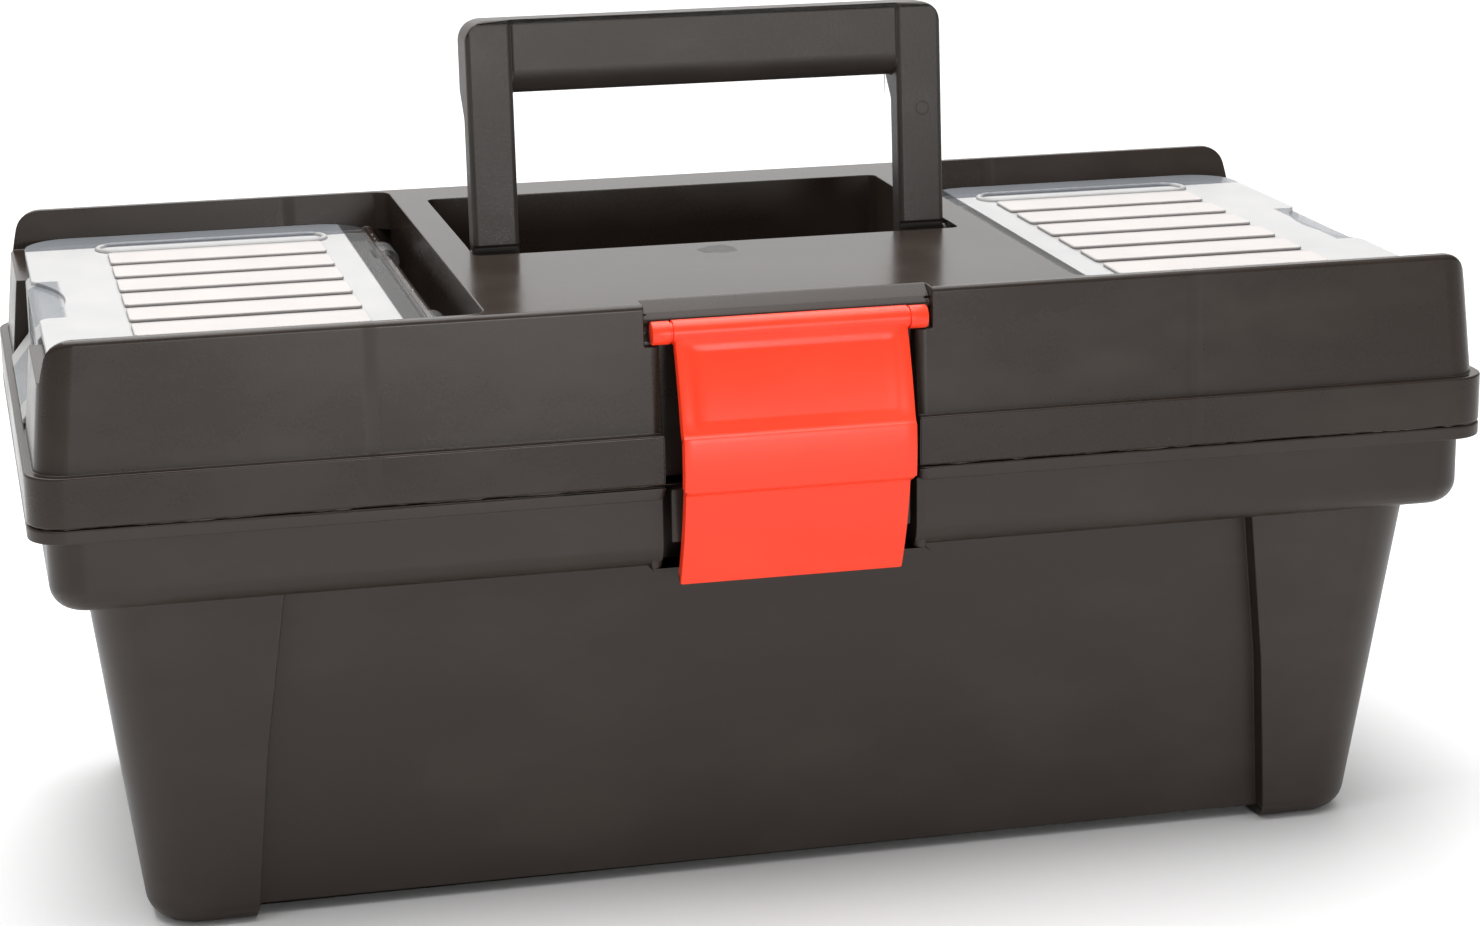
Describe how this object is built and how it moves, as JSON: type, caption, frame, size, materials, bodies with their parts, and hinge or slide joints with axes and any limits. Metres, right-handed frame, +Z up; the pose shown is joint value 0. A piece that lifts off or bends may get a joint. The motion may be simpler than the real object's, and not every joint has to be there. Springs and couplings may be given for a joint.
{
  "type": "toolbox",
  "caption": "Small hand-carried plastic toolbox with a hinged lid, front snap latch, fold-down handle, lift-out tray and clear-covered small-parts compartments in the lid.",
  "frame": {"origin": "centre of the box's footprint, on the surface it stands on", "axes": "+X to the right seen from the latch side, +Y from the latch side towards the hinges, +Z up"},
  "size_m": [0.32, 0.1728, 0.1857],
  "materials": {
    "body_plastic": "dark warm grey polypropylene, fine moulded grain, block top and ledges glossy",
    "latch_plastic": "orange-red polypropylene, satin",
    "handle_plastic": "dark warm grey polypropylene, fine grain on the grip",
    "cover_plastic": "milky clear polypropylene, frosted between glossy borders",
    "tray_plastic": "dark warm grey polypropylene, satin",
    "pin_steel": "drawn steel wire, zinc plated"
  },
  "bodies": {
    "tub_body": {"tub": "body_plastic", "tray": "tray_plastic", "hinge_pin_left": "pin_steel", "hinge_pin_right": "pin_steel"},
    "lid_body": {"lid": "body_plastic"},
    "latch_body": {"latch": "latch_plastic"},
    "handle_body": {"handle": "handle_plastic"},
    "left_cover_body": {"left_cover": "cover_plastic"},
    "right_cover_body": {"right_cover": "cover_plastic"}
  },
  "joints": [
    {"name": "lid_hinge", "type": "hinge", "parent": "tub_body", "child": "lid_body", "pos_m": [0, 0.0832, 0.0964], "axis": [-1, 0, 0], "range_deg": [0, 100]},
    {"name": "latch_hinge", "type": "hinge", "parent": "lid_body", "child": "latch_body", "pos_m": [0, -0.0765, 0.1288], "axis": [-1, 0, 0], "range_deg": [0, 110]},
    {"name": "handle_hinge", "type": "hinge", "parent": "lid_body", "child": "handle_body", "pos_m": [0, -0.002, 0.1315], "axis": [-1, 0, 0], "range_deg": [-3.9, 86.1]},
    {"name": "left_cover_hinge", "type": "hinge", "parent": "lid_body", "child": "left_cover_body", "pos_m": [-0.07, 0, 0.1249], "axis": [0, 1, 0], "range_deg": [0, 95]},
    {"name": "right_cover_hinge", "type": "hinge", "parent": "lid_body", "child": "right_cover_body", "pos_m": [0.07, 0, 0.1249], "axis": [0, -1, 0], "range_deg": [0, 95]}
  ]
}
